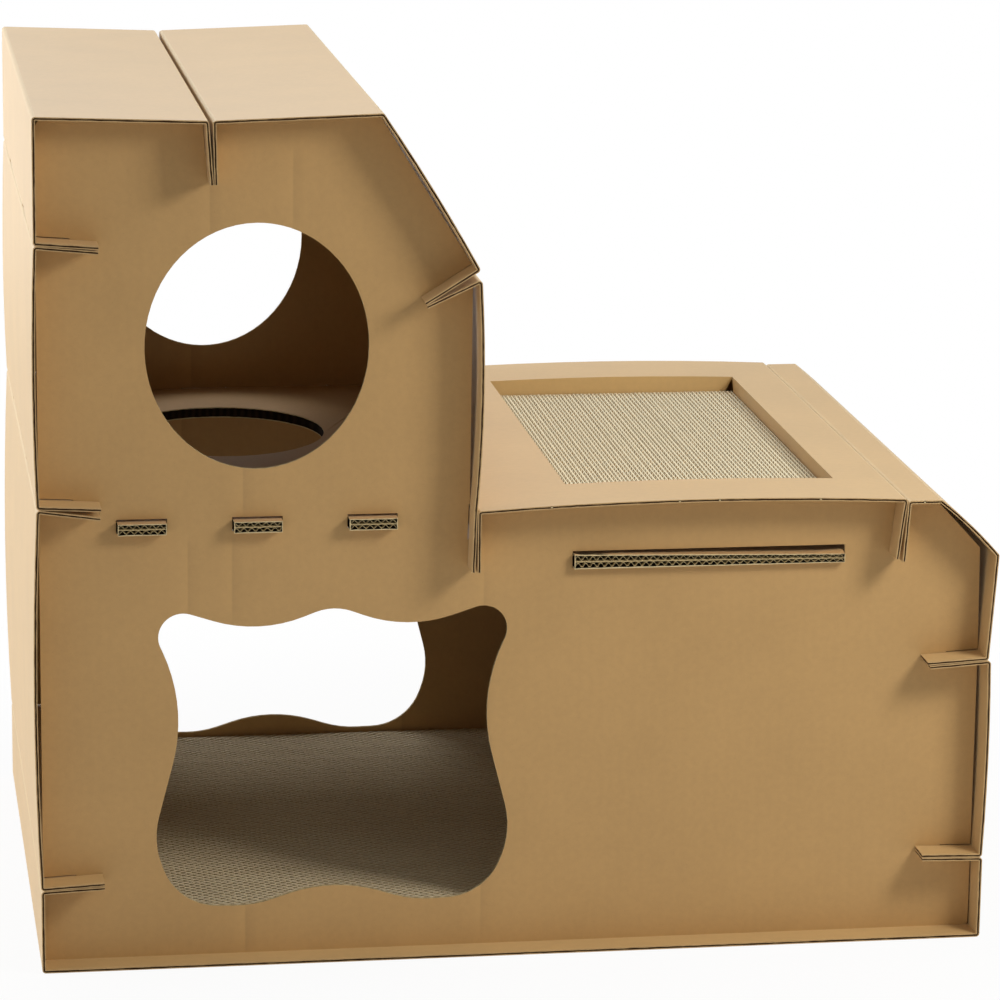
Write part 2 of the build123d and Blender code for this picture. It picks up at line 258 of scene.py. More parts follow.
@dataclass(frozen=True)
class KraftLiner:
    """Kraft linerboard, the brown paper face of corrugated board, pressed smooth on rolls.

    It is matt with a faint sheen. Long dark and pale fibres fleck it, the pulp clouds it
    in soft patches, and the flutes below show as a slight washboard, in relief and as a
    painted shade. Its creases are a painted highlight and a painted shade.

    Attributes:
        name: The material's name.
        colour: The paper's mean colour.
        washboard: The axis across the flutes.
        creases: Faint upright lines, painted in as highlight and shade.
        left: The place of the left wall, which the creases are measured from.
        fleck_size: The size of the smallest flecks.
        cloud_size: The size of the soft patches.
        flute_pitch: The spacing of the flutes below.
        flute_relief: How strongly the flutes show through as relief.
        flute_painted_shade: How strongly they show through as a painted shade.
        roughness: The paper's roughness.
        gloss: The strength of its reflection.
        fuzz: The strength of the pale sheen that loose fibres give at a flat angle.
    """

    name: str
    colour: str
    washboard: Axis
    creases: tuple[Crease, ...] = ()
    left: float = 0.0
    # Paper fibres are 2 to 3 mm long and 0.03 mm wide. Flecks of 1 mm are the smallest
    # that show at the photograph's scale.
    fleck_size: float = 1.1 * MM
    cloud_size: float = 70 * MM
    flute_pitch: float = 8 * MM
    flute_relief: float = 0.15
    flute_painted_shade: float = 0.004
    roughness: float = 0.65
    gloss: float = 0.35
    fuzz: float = 0.12

    def build(self) -> bpy.types.Material:
        """Makes the material."""
        material, tree = new_material(self.name)
        place = add_node(tree, "ShaderNodeTexCoord").outputs["Object"]
        axes = add_node(tree, "ShaderNodeSeparateXYZ", {0: place})
        clouds = add_node(
            tree,
            "ShaderNodeTexNoise",
            {"Vector": place, "Scale": 1 / self.cloud_size, "Detail": 4.0, "Roughness": 0.55},
        )
        flecks = add_node(
            tree,
            "ShaderNodeTexNoise",
            {"Vector": place, "Scale": 1 / self.fleck_size, "Detail": 3.0, "Roughness": 0.6},
        )
        grain = add_node(
            tree,
            "ShaderNodeTexNoise",
            {"Vector": place, "Scale": 1 / (4 * self.fleck_size), "Detail": 2.0},
        )
        washboard = flute_wave(tree, axes, self.washboard, self.flute_pitch)
        shade = self._shade(
            tree, clouds.outputs["Fac"], flecks.outputs["Fac"], grain.outputs["Fac"]
        )
        # The washboard is also painted into the colour, as a faint shade that follows its relief.
        shade = add_node(
            tree,
            "ShaderNodeMath",
            {0: washboard, 1: self.flute_painted_shade, 2: shade},
            operation="MULTIPLY_ADD",
        ).outputs[0]
        # Each crease is painted in as a highlight on its left and a shade on its right.
        for crease in self.creases:
            shade = self._crease_shade(tree, axes, crease, shade)
        tint = add_node(
            tree,
            "ShaderNodeHueSaturation",
            {"Color": linear(self.colour), "Value": shade},
        )
        height = add_node(
            tree,
            "ShaderNodeMath",
            {0: flecks.outputs["Fac"], 1: 0.05, 2: grain.outputs["Fac"]},
            operation="MULTIPLY_ADD",
        )
        height = add_node(
            tree,
            "ShaderNodeMath",
            {0: washboard, 1: self.flute_relief, 2: height.outputs[0]},
            operation="MULTIPLY_ADD",
        )
        bump = add_node(
            tree,
            "ShaderNodeBump",
            {"Strength": 0.25, "Distance": 0.12 * MM, "Height": height.outputs[0]},
        )
        fuzz = {"Sheen Weight": self.fuzz, "Sheen Roughness": 0.5, "Normal": bump.outputs[0]}
        end_paper(tree, tint.outputs[0], self.roughness, self.gloss, fuzz)
        return material

    def _shade(
        self,
        tree: bpy.types.NodeTree,
        clouds: bpy.types.NodeSocket,
        flecks: bpy.types.NodeSocket,
        grain: bpy.types.NodeSocket,
    ) -> bpy.types.NodeSocket:
        """Adds up the paper's uneven shade round a value of one.

        Args:
            tree: The material's tree.
            clouds: Large soft patches of pulp.
            flecks: Single fibres.
            grain: Small soft patches.

        Returns:
            The factor on the paper's brightness.
        """
        cloudy = add_node(
            tree,
            "ShaderNodeMapRange",
            {"Value": clouds, "From Min": 0.3, "From Max": 0.7, "To Min": 0.965, "To Max": 1.03},
        )
        dark = add_node(
            tree,
            "ShaderNodeMapRange",
            {"Value": flecks, "From Min": 0.24, "From Max": 0.36, "To Min": -0.13, "To Max": 0.0},
        )
        pale = add_node(
            tree,
            "ShaderNodeMapRange",
            {"Value": flecks, "From Min": 0.64, "From Max": 0.76, "To Min": 0.0, "To Max": 0.10},
        )
        fine = add_node(
            tree,
            "ShaderNodeMapRange",
            {"Value": grain, "From Min": 0.3, "From Max": 0.7, "To Min": -0.02, "To Max": 0.02},
        )
        total = cloudy.outputs[0]
        for part in (dark, pale, fine):
            total = add_node(
                tree, "ShaderNodeMath", {0: total, 1: part.outputs[0]}, operation="ADD"
            ).outputs[0]
        return total

    def _crease_shade(
        self,
        tree: bpy.types.NodeTree,
        axes: bpy.types.Node,
        crease: Crease,
        shade: bpy.types.NodeSocket,
    ) -> bpy.types.NodeSocket:
        """Adds one crease, pale on its left and dark on its right, to the paper's shade.

        Args:
            tree: The material's tree.
            axes: The node that parts a place into its axes.
            crease: The crease.
            shade: The shade without it.

        Returns:
            The shade with it.
        """
        # The crease is painted into the colour: a highlight on its left side, a shade on its
        # right.
        line = self.left + crease.x * MM
        aside = add_node(
            tree,
            "ShaderNodeMapRange",
            {
                "Value": axes.outputs["X"],
                "From Min": line - crease.painted_light_side * MM,
                "From Max": line + crease.painted_shade_side * MM,
            },
        )
        ramp = add_node(tree, "ShaderNodeValToRGB", {0: aside.outputs[0]})
        fold = crease.painted_light_side / (crease.painted_light_side + crease.painted_shade_side)
        stops = ramp.color_ramp.elements
        for place, grey in ((fold - 0.03, 0.56), (fold + 0.03, 0.42)):
            stops.new(place).color = (grey, grey, grey, 1)
        stops[0].color = stops[-1].color = (0.5, 0.5, 0.5, 1)
        middle = (crease.head + crease.foot) / 2 * MM
        reach = (crease.head - crease.foot) / 2 * MM
        away = add_node(
            tree, "ShaderNodeMath", {0: axes.outputs["Z"], 1: middle}, operation="SUBTRACT"
        )
        away = add_node(tree, "ShaderNodeMath", {0: away.outputs[0]}, operation="ABSOLUTE")
        along = add_node(
            tree,
            "ShaderNodeMapRange",
            {
                "Value": away.outputs[0],
                "From Min": 0.7 * reach,
                "From Max": 1.1 * reach,
                "To Min": 1.0,
                "To Max": 0.0,
            },
        )
        depth = add_node(
            tree, "ShaderNodeMath", {0: ramp.outputs[0], 1: 0.5}, operation="SUBTRACT"
        )
        return add_node(
            tree,
            "ShaderNodeMath",
            {0: depth.outputs[0], 1: along.outputs[0], 2: shade},
            operation="MULTIPLY_ADD",
        ).outputs[0]


@dataclass(frozen=True)
class CutPaper:
    """The bare cut edge of kraft paper, sheared by a die, pale and fibrous.

    Attributes:
        name: The material's name.
        colour: The fibres' mean colour.
        spread: How far the shade swings each way.
        tuft_size: The size of the torn fibre tufts.
    """

    name: str
    colour: str
    spread: float = 0.12
    tuft_size: float = 1.5 * MM

    def build(self) -> bpy.types.Material:
        """Makes the material."""
        material, tree = new_material(self.name)
        place = add_node(tree, "ShaderNodeTexCoord").outputs["Object"]
        tufts = add_node(
            tree,
            "ShaderNodeTexNoise",
            {"Vector": place, "Scale": 1 / self.tuft_size, "Detail": 4.0, "Roughness": 0.7},
        )
        shade = add_node(
            tree,
            "ShaderNodeMapRange",
            {
                "Value": tufts.outputs["Fac"],
                "From Min": 0.3,
                "From Max": 0.7,
                "To Min": 1.0 - self.spread,
                "To Max": 1.0 + self.spread,
            },
        )
        tint = add_node(
            tree,
            "ShaderNodeHueSaturation",
            {"Color": linear(self.colour), "Value": shade.outputs[0]},
        )
        bump = add_node(
            tree,
            "ShaderNodeBump",
            {"Strength": 0.6, "Distance": 0.2 * MM, "Height": tufts.outputs["Fac"]},
        )
        end_paper(tree, tint.outputs[0], 0.95, 0.15, {"Normal": bump.outputs[0]})
        return material


@dataclass(frozen=True)
class FluteCore:
    """Fluting medium, the thin recycled paper between the liners, rolled into waves.

    Deep in a cut edge it is painted a dark olive brown, a painted shade in the open
    flutes, with a paler crest where each flute comes near the eye, partly the medium's own
    colour and partly a painted highlight.

    Attributes:
        name: The material's name.
        shaded_hollow: The colour between two flutes, a painted shade in the open flutes.
        crest: The colour of a flute's crest, partly its own and partly a painted highlight.
        across: The axis across the flutes.
        flute_pitch: The spacing of the flutes.
        fibre_size: The size of the clots of fibre that blur them.
    """

    name: str
    shaded_hollow: str
    crest: str
    across: Axis
    flute_pitch: float = 8 * MM
    fibre_size: float = 2.5 * MM

    def build(self) -> bpy.types.Material:
        """Makes the material."""
        material, tree = new_material(self.name)
        place = add_node(tree, "ShaderNodeTexCoord").outputs["Object"]
        axes = add_node(tree, "ShaderNodeSeparateXYZ", {0: place})
        wave = flute_wave(tree, axes, self.across, self.flute_pitch)
        fibres = add_node(
            tree,
            "ShaderNodeTexNoise",
            {"Vector": place, "Scale": 1 / self.fibre_size, "Detail": 3.0, "Roughness": 0.65},
        )
        mixed = add_node(
            tree,
            "ShaderNodeMath",
            {0: wave, 1: 0.35, 2: fibres.outputs["Fac"]},
            operation="MULTIPLY_ADD",
        )
        share = add_node(
            tree,
            "ShaderNodeMapRange",
            {"Value": mixed.outputs[0], "From Min": 0.25, "From Max": 0.85},
        )
        # The wave mixes the painted shade of the hollows with the painted lighter crests.
        tint = add_node(
            tree,
            "ShaderNodeMix",
            {"Factor": share.outputs[0], "A": linear(self.shaded_hollow), "B": linear(self.crest)},
            data_type="RGBA",
        )
        end_paper(tree, tint.outputs["Result"], 0.95, 0.1, {})
        return material


@dataclass
class Finishes:
    """The finishes of the house, each made once."""

    panel: bpy.types.Material
    wall: bpy.types.Material
    shelf: bpy.types.Material
    cut: bpy.types.Material
    wall_cut: bpy.types.Material
    flutes: bpy.types.Material
    recess: bpy.types.Material
    deep: bpy.types.Material
    fold: bpy.types.Material
    medium: bpy.types.Material
    strip: bpy.types.Material
    strip_side: bpy.types.Material
    shaded_hollow: bpy.types.Material

    @staticmethod
    def make(creases: tuple[Crease, ...], left: float) -> Finishes:
        """Makes every finish.

        Args:
            creases: The faint upright lines of the panels, painted in as highlight and shade.
            left: The place of the left wall.

        Returns:
            The finishes.
        """
        # The wrap sheets catch a broad soft shine from the lamps, which the panels don't
        walls = {"roughness": 0.5, "gloss": 0.7}
        return Finishes(
            panel=KraftLiner("kraft_panel", "#C5A06B", Axis.X, creases, left).build(),
            wall=KraftLiner("kraft_wall", "#CBA972", Axis.Y, **walls).build(),
            shelf=KraftLiner("kraft_shelf", "#C09B6A", Axis.X).build(),
            cut=CutPaper("cut_kraft", "#DCCAA0").build(),
            wall_cut=CutPaper("cut_wall", "#C8A97B").build(),
            # Each core's hollows are painted shade. The walls' core is painted darker still and
            # the shelves' core near black, as the shade in their cut edges.
            flutes=FluteCore("flutes_upright", "#8A7350", "#CDBB8C", Axis.X).build(),
            recess=FluteCore("flutes_along", "#4A3322", "#6E5238", Axis.Y).build(),
            deep=FluteCore("flutes_deep_painted_shade", "#211913", "#33281D", Axis.X, 5.6 * MM).build(),
            # The folds are paler: partly crushed fibres, partly a painted highlight along the
            # bend.
            fold=KraftLiner("kraft_fold_wear_and_highlight", "#D4B784", Axis.Y, **walls).build(),
            medium=CutPaper("fluting_medium", "#C2AF84", 0.18).build(),
            strip=CutPaper("strip_edge", "#F2EACF", 0.14).build(),
            strip_side=CutPaper("strip_side", "#D4C09A", 0.16).build(),
            # The pads' cells are painted dark, a painted shade deep inside them.
            shaded_hollow=CutPaper("hollow_cells_painted_shade", "#5A4229", 0.1).build(),
        )


@dataclass
class Board:
    """One corrugated board, cut and folded as its solid is.

    Attributes:
        node: The name of its solid.
        thickness: The board's thickness.
        finishes: The finishes in the order of Part.
        slot: The record's slot of its finish. It is not used.
        liner: The thickness of each paper face.
        groove: How far the core stands back from a cut edge.
        fold_width: The widest facet of a fold.
        fold_length: The shortest facet of a fold.
        crush: How far the die pushed the liners' inner edges about.
        crush_step: The spacing of the places where it did.
        skin: How far below a face the board's thickness is felt from.
        thin_share: The thickness, as a share of the board's, that still counts as thin.
        folded: Whether it is a folded sheet, whose sides bow and shade smoothly.
    """

    node: str
    thickness: float
    finishes: tuple[bpy.types.Material, ...]
    slot: Slot
    liner: float = 0.7 * MM
    groove: float = 0.6 * MM
    fold_width: float = 2.5 * MM
    fold_length: float = 150 * MM
    crush: float = 0.16 * MM
    crush_step: float = 5.0 * MM
    skin: float = 0.05 * MM
    thin_share: float = 1.35
    folded: bool = False

    def build(self, solid: bpy.types.Object) -> bpy.types.Object:
        """Builds the board from its solid and puts it in the solid's place.

        Args:
            solid: The solid's object in the frame.

        Returns:
            The board.
        """
        mesh = bmesh.new()
        mesh.from_mesh(solid.data)
        bmesh.ops.remove_doubles(mesh, verts=mesh.verts, dist=SAME_POINT)
        self._tell_parts(mesh)
        # The cut end of a folded sheet winds round its folds. It is sunk as the small faces
        # that it comes in, since one face of that shape could not be filled.
        cut = {f for f in mesh.faces if f.material_index == Part.CORE.value}
        joined = [f for f in mesh.faces if not self.folded or f not in cut]
        bmesh.ops.dissolve_limit(
            mesh,
            angle_limit=LEVEL,
            verts=list(dict.fromkeys(vertex for face in joined for vertex in face.verts)),
            edges=list(dict.fromkeys(edge for face in joined for edge in face.edges)),
            delimit={"MATERIAL"},
        )
        self._cut_grooves(mesh)
        return self._finish(mesh)

    def _tell_parts(self, mesh: bmesh.types.BMesh) -> None:
        """Tells the paper faces, the folds and the cut edges apart.

        A face with little more than the board's thickness below it is paper, and a long
        narrow face of paper at an angle to its neighbour is part of a fold.

        Args:
            mesh: The solid's faces.
        """
        mesh.normal_update()
        tree = BVHTree.FromBMesh(mesh)
        for face in mesh.faces:
            start = face.calc_center_median() - face.normal * self.skin
            below = tree.ray_cast(start, -face.normal)[3]
            thin = below is not None and below < self.thin_share * self.thickness
            face.material_index = Part.LINER.value if thin else Part.CORE.value
        self._even_out(mesh)
        for face in mesh.faces:
            longest = max(edge.calc_length() for edge in face.edges)
            narrow = 2 * face.calc_area() / longest < self.fold_width
            bend = max(edge.calc_face_angle(0.0) for edge in face.edges)
            paper = face.material_index == Part.LINER.value
            if paper and narrow and longest > self.fold_length and bend > FOLD_BEND:
                face.material_index = Part.FOLD.value

    def _even_out(self, mesh: bmesh.types.BMesh) -> None:
        """Gives each smooth side of the board the part that most of its area has.

        Args:
            mesh: The board's faces, told apart one by one.
        """
        seen: set[bmesh.types.BMFace] = set()
        for first in mesh.faces:
            if first in seen:
                continue
            side = [first]
            seen.add(first)
            for face in side:
                for edge in face.edges:
                    if edge.calc_face_angle(math.pi) > ONE_SIDE:
                        continue
                    for beyond in edge.link_faces:
                        if beyond not in seen:
                            seen.add(beyond)
                            side.append(beyond)
            paper = sum(f.calc_area() for f in side if f.material_index == Part.LINER.value)
            whole = sum(f.calc_area() for f in side)
            part = Part.LINER if 2 * paper > whole else Part.CORE
            for face in side:
                face.material_index = part.value

    def _cut_grooves(self, mesh: bmesh.types.BMesh) -> None:
        """Sinks the core below its two liners along every cut edge.

        Args:
            mesh: The board's faces, told apart by part.
        """
        cut = [f for f in mesh.faces if f.material_index == Part.CORE.value]
        self._sink(mesh, cut, self.groove)

    def _sink(
        self, mesh: bmesh.types.BMesh, cut: list[bmesh.types.BMFace], depth: float
    ) -> None:
        """Sinks the middle of some cut faces and leaves a lip of the liner's thickness.

        Args:
            mesh: The board's faces.
            cut: The faces that are sunk.
            depth: How far they go down.
        """
        for edge in list(dict.fromkeys(edge for face in cut for edge in face.edges)):
            cuts = int(edge.calc_length() / self.crush_step)
            if cuts > 0:
                bmesh.ops.bisect_edges(mesh, edges=[edge], cuts=cuts)
        rims = bmesh.ops.inset_region(
            mesh, faces=cut, use_boundary=True, use_even_offset=False, thickness=self.liner
        )["faces"]
        for face in rims:
            face.material_index = Part.CUT_LINER.value
        chance = random.Random(self.node)
        for corner in list(dict.fromkeys(vertex for face in cut for vertex in face.verts)):
            push = Vector(chance.uniform(-self.crush, self.crush) for _ in range(3))
            facing = next(face for face in corner.link_faces if face in cut).normal
            corner.co += push - facing * push.dot(facing)
        walls = bmesh.ops.inset_region(
            mesh,
            faces=[face for face in cut if face.is_valid],
            use_boundary=True,
            use_even_offset=False,
            thickness=0.01 * MM,
            depth=-depth,
        )["faces"]
        for face in walls:
            face.material_index = Part.CORE.value

    def _finish(self, mesh: bmesh.types.BMesh) -> bpy.types.Object:
        """Turns the faces into a piece of the house.

        Args:
            mesh: The finished faces.

        Returns:
            The piece.
        """
        data = bpy.data.meshes.new(f"{self.node}_board")
        bmesh.ops.triangulate(mesh, faces=[face for face in mesh.faces if len(face.verts) > 4])
        bmesh.ops.dissolve_degenerate(mesh, edges=mesh.edges, dist=0.001 * MM)
        mesh.normal_update()
        for face in mesh.faces:
            face.smooth = self.folded
        mesh.to_mesh(data)
        mesh.free()
        for material in self.finishes:
            data.materials.append(material)
        if self.folded:
            data.set_sharp_from_angle(angle=SHARP)
        piece = bpy.data.objects.new(f"{self.node}_board", data)
        bpy.context.scene.collection.objects.link(piece)
        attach(piece, BODY)
        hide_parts(self.node)
        LOG.info("%s: %d faces", piece.name, len(data.polygons))
        return piece


@dataclass(frozen=True)
class TabEnd:
    """The cut end of a tab, with its corners in metres.

    Attributes:
        low: Its lowest corner.
        high: Its highest corner.
        outward: One where it faces the back and minus one where it faces the front.
    """

    low: Vector
    high: Vector
    outward: float


@dataclass
class Shelf(Board):
    """A double-wall board whose tabs show their two rows of flutes.

    Attributes:
        pocket: How deep the flutes of a tab are modelled.
        flute_pitch: The spacing of the flutes.
        medium: The thickness of the fluting medium.
        swell: How much thicker than the board a tab is at its left end.
        squash: How much thinner than the board a tab is at its right end.
        back_lift: How steeply the back tabs are bent up, as the rise at their right end.
        head_room: The room above the tabs in their slots, where the rise ends.
        tab: The length of the tabs.
        flute_inset: How far the flutes stand back from a tab's cut end.
        flute_step: The spacing of the points along a flute's wave.
        flute_play: How far each of these points was pushed up or down by the die.
        seed: The start of its random draws.
        ends: The cut ends of its tabs.
    """

    pocket: float = 5.0 * MM
    flute_pitch: float = 5.6 * MM
    medium: float = 0.4 * MM
    swell: float = 0.0
    squash: float = 0.0
    back_lift: float = 0.0
    head_room: float = 1.7 * MM
    tab: float = 11.6 * MM
    flute_inset: float = 0.3 * MM
    flute_step: float = 1.4 * MM
    flute_play: float = 0.12 * MM
    seed: int = 1
    ends: list[TabEnd] = field(default_factory=list)

    def _cut_grooves(self, mesh: bmesh.types.BMesh) -> None:
        """Sinks a deep pocket in each tab's end and grooves in the other cut edges.

        Args:
            mesh: The board's faces, told apart by part.
        """
        reach = max(vertex.co.y for vertex in mesh.verts)
        cut = [f for f in mesh.faces if f.material_index == Part.CORE.value]
        ends = [f for f in cut if abs(f.calc_center_median().y) > reach - 0.01 * MM]
        self.ends = [self._tab_end(face) for face in ends]
        self._sink(mesh, ends, self.pocket)
        self._sink(mesh, [f for f in cut if f not in ends], self.groove)
        for vertex in mesh.verts:
            root = self.tab if vertex.co.y > 0 and self.back_lift else self.pocket
            if abs(vertex.co.y) > reach - root - 0.1 * MM:
                vertex.co.z = self._pressed(vertex.co)

    def _tab_end(self, face: bmesh.types.BMFace) -> TabEnd:
        """Measures the end of a tab.

        Args:
            face: Its face.

        Returns:
            The end's corners.
        """
        corners = [vertex.co for vertex in face.verts]
        low = Vector(min(corner[axis] for corner in corners) for axis in range(3))
        high = Vector(max(corner[axis] for corner in corners) for axis in range(3))
        return TabEnd(low, high, math.copysign(1.0, low.y))

    def _pressed(self, point: Vector) -> float:
        """The height of a point of a tab once the tab's right end is pressed thin.

        Args:
            point: The point in the flat board.

        Returns:
            Its height.
        """
        left = min(end.low.x for end in self.ends)
        right = max(end.high.x for end in self.ends)
        foot = self.ends[0].low.z
        share = (point.x - left) / (right - left)
        lift = min(self.back_lift * share, self.head_room) if point.y > 0 else 0.0
        factor = 1 + self.swell - (self.swell + self.squash) * share
        return foot + lift + (point.z - foot) * factor

    def flutes(self, finishes: Finishes) -> bpy.types.Object:
        """Builds the flutes in the pockets of all the tabs.

        Args:
            finishes: The finishes of the house.

        Returns:
            The flutes.
        """
        chance = random.Random(self.seed)
        faces = Faces()
        for end in self.ends:
            back = end.low.y - end.outward * self.pocket
            front = end.low.y - end.outward * self.flute_inset
            near, far = min(back, front), max(back, front)
            low = Vector((end.low.x + self.liner, near, end.low.z))
            high = Vector((end.high.x - self.liner, far, end.high.z))
            middle = (low.z + high.z) / 2
            half = self.liner / 2
            row = (high.z - low.z - 3 * self.liner) / 2
            count = round((high.x - low.x) / self.flute_step)
            for centre in (middle, middle - half - row / 2, middle + half + row / 2):
                flat = centre == middle
                swing = 0.0 if flat else (row - self.medium) / 2
                thick = self.liner if flat else self.medium
                phase = chance.uniform(0, math.tau)
                rings = []
                for step in range(count + 1):
                    x = low.x + (high.x - low.x) * step / count
                    turn = math.tau * (x - low.x) / self.flute_pitch + phase
                    wobble = chance.uniform(-self.flute_play, self.flute_play)
                    z = centre + swing * math.sin(turn) + wobble
                    bottom = self._pressed(Vector((x, near, z - thick / 2)))
                    top = self._pressed(Vector((x, near, z + thick / 2)))
                    floor = [(x, near, bottom), (x, far, bottom)]
                    rings.append(floor + [(x, far, top), (x, near, top)])
                faces.ribbon(rings, 0, 0)
        piece = faces.piece(f"{self.node}_flutes", (finishes.medium,))
        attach(piece, BODY)
        return piece


class Faces:
    """Points and faces of a mesh that is built from closed boxes and ribbons."""

    def __init__(self) -> None:
        """Starts with nothing."""
        self.points: list[tuple[float, float, float]] = []
        self.faces: list[tuple[int, ...]] = []
        self.materials: list[int] = []

    def box(self, low: Vector, high: Vector, side: int, top: int) -> None:
        """Adds a closed box.

        Args:
            low: Its lowest corner.
            high: Its highest corner.
            side: The place of the finish of its sides and bottom.
            top: The place of the finish of its top.
        """
        start = len(self.points)
        for z in (low.z, high.z):
            self.points += [(low.x, low.y, z), (high.x, low.y, z)]
            self.points += [(high.x, high.y, z), (low.x, high.y, z)]
        faces = [(0, 3, 2, 1), (4, 5, 6, 7)]
        faces += [(n, (n + 1) % 4, (n + 1) % 4 + 4, n + 4) for n in range(4)]
        self.faces += [tuple(start + corner for corner in face) for face in faces]
        self.materials += [side, top] + [side] * 4

    def ribbon(
        self, rings: list[list[tuple[float, float, float]]], side: int, top: int
    ) -> None:
        """Adds a closed tube through four-cornered rings.

        Args:
            rings: Four points each, with the top between the last two, ring after ring.
            side: The place of the finish of its sides, bottom and ends.
            top: The place of the finish of its top.
        """
        start = len(self.points)
        for ring in rings:
            self.points += ring
        count = len(rings)
        for step in range(count - 1):
            here = start + 4 * step
            there = here + 4
            for corner in range(4):
                after = (corner + 1) % 4
                self.faces.append((here + corner, here + after, there + after, there + corner))
        last = start + 4 * (count - 1)
        self.faces.append((start + 3, start + 2, start + 1, start))
        self.faces.append((last, last + 1, last + 2, last + 3))
        self.materials += [side, side, top, side] * (count - 1) + [side, side]

    def piece(self, name: str, finishes: tuple[bpy.types.Material, ...]) -> bpy.types.Object:
        """Makes the object.

        Args:
            name: Its name.
            finishes: The finishes that the faces name by place.

        Returns:
            The object, not yet on a body.
        """
        data = bpy.data.meshes.new(name)
        data.from_pydata(self.points, [], self.faces)
        data.polygons.foreach_set("material_index", np.array(self.materials, np.int32))
        for material in finishes:
            data.materials.append(material)
        solid = bmesh.new()
        solid.from_mesh(data)
        bmesh.ops.recalc_face_normals(solid, faces=solid.faces)
        solid.to_mesh(data)
        solid.free()
        piece = bpy.data.objects.new(name, data)
        bpy.context.scene.collection.objects.link(piece)
        LOG.info("%s: %d faces", name, len(data.polygons))
        return piece


@dataclass
class ScratchPad:
    """A block of corrugated strips glued side by side, their cut flutes facing up.

    Attributes:
        node: The name of its solid.
        along: The axis along the strips.
        strip: The spacing of the rows of flutes.
        liner: The thickness of the two glued liners between neighbouring strips.
        middle_liner: The thickness of the liner inside a double-wall strip.
        liner_drop: How far the liners' worn edges stand below the medium's.
        drift: The mean shift and the spread, in radians, from one row's wave to the next.
        medium: The thickness of the fluting medium.
        flute_pitch: The spacing of the flutes along a strip.
        cell_depth: How deep the cells are modelled.
        end_play: How unevenly the strips end.
        top_play: How unevenly the liners' edges stand.
        wave_play: How unevenly the medium's edges stand.
        core_inset: How far the cells' floors, a painted shade, stand back from the strips' ends.
        wave_inset: How far the medium does.
        seed: The start of its random draws.
    """

    node: str
    along: Axis
    strip: float = 3.22 * MM
    liner: float = 1.5 * MM
    middle_liner: float = 1.2 * MM
    liner_drop: float = 0.0
    drift: tuple[float, float] = (0.35, 0.55)
    medium: float = 0.5 * MM
    flute_pitch: float = 8.0 * MM
    cell_depth: float = 4.0 * MM
    end_play: float = 0.8 * MM
    top_play: float = 0.35 * MM
    wave_play: float = 0.3 * MM
    core_inset: float = 1.5 * MM
    wave_inset: float = 0.4 * MM
    seed: int = 1

    def build(self, finishes: Finishes) -> bpy.types.Object:
        """Builds the pad in its solid's place.

        Args:
            finishes: The finishes of the house.

        Returns:
            The pad.
        """
        low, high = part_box(self.node)
        chance = random.Random(self.seed)
        along = self.along.value
        across = 1 - along
        length = high[along] - low[along]
        width = high[across] - low[across]
        count = round(width / self.strip)
        pitch = width / count
        faces = Faces()
        for number in range(count + 1):
            middle = low[across] + number * pitch
            start, end = Vector(low), Vector(high)
            half = (self.middle_liner if number % 2 else self.liner) / 2
            start[across] = max(low[across], middle - half)
            end[across] = min(high[across], middle + half)
            start[along] += chance.uniform(0, self.end_play)
            end[along] -= chance.uniform(0, self.end_play)
            end.z -= self.liner_drop + chance.uniform(0, self.top_play)
            faces.box(start, end, StripPart.SIDE.value, StripPart.EDGE.value)
        phase = chance.uniform(0, math.tau)
        for number in range(count):
            middle = low[across] + (number + 0.5) * pitch
            start, end = Vector(low), Vector(high)
            start[across] = middle - (pitch - self.liner) / 2
            end[across] = middle + (pitch - self.liner) / 2
            start[along] += self.core_inset
            end[along] -= self.core_inset
            end.z -= self.cell_depth
            # A dark box below the edges fills each cell, a painted shade deep in the open cell.
            faces.box(start, end, StripPart.CELL.value, StripPart.CELL.value)
            phase += chance.gauss(*self.drift)
            self._medium_ribbon(faces, low, high, middle, pitch, length, phase, chance)
        pad = faces.piece(
            f"{self.node}_strips",
            (finishes.strip, finishes.strip_side, finishes.shaded_hollow),
        )
        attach(pad, BODY)
        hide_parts(self.node)
        return pad

    def _medium_ribbon(
        self,
        faces: Faces,
        low: Vector,
        high: Vector,
        middle: float,
        pitch: float,
        length: float,
        phase: float,
        chance: random.Random,
    ) -> None:
        """Adds the waved medium of one strip.

        Args:
            faces: The pad's faces.
            low: The pad's lowest corner.
            high: The pad's highest corner.
            middle: The strip's middle across the pad.
            pitch: The spacing of the strips.
            length: The pad's length along the strips.
            phase: Where its wave starts, in radians.
            chance: The pad's random draws.
        """
        along = self.along.value
        # Where the liners are worn down, the wave spreads over their edges
        gap = pitch if self.liner_drop else pitch - self.liner
        reach = (gap - self.medium) / 2
        quarter_turns = round(length / self.flute_pitch) * 4
        top = high.z - chance.uniform(0, self.wave_play)
        bottom = high.z - self.cell_depth - 0.2 * MM
        rings = []
        for step in range(quarter_turns + 1):
            run = low[along] + self.wave_inset
            run += (length - 2 * self.wave_inset) * step / quarter_turns
            aside = middle + reach * math.sin(math.tau * step / 4 + phase)
            near, far = aside - self.medium / 2, aside + self.medium / 2
            corners = [(run, near, bottom), (run, far, bottom), (run, far, top), (run, near, top)]
            if self.along is Axis.Y:
                corners = [(b, a, c) for a, b, c in corners]
            rings.append(corners)
        faces.ribbon(rings, StripPart.SIDE.value, StripPart.EDGE.value)


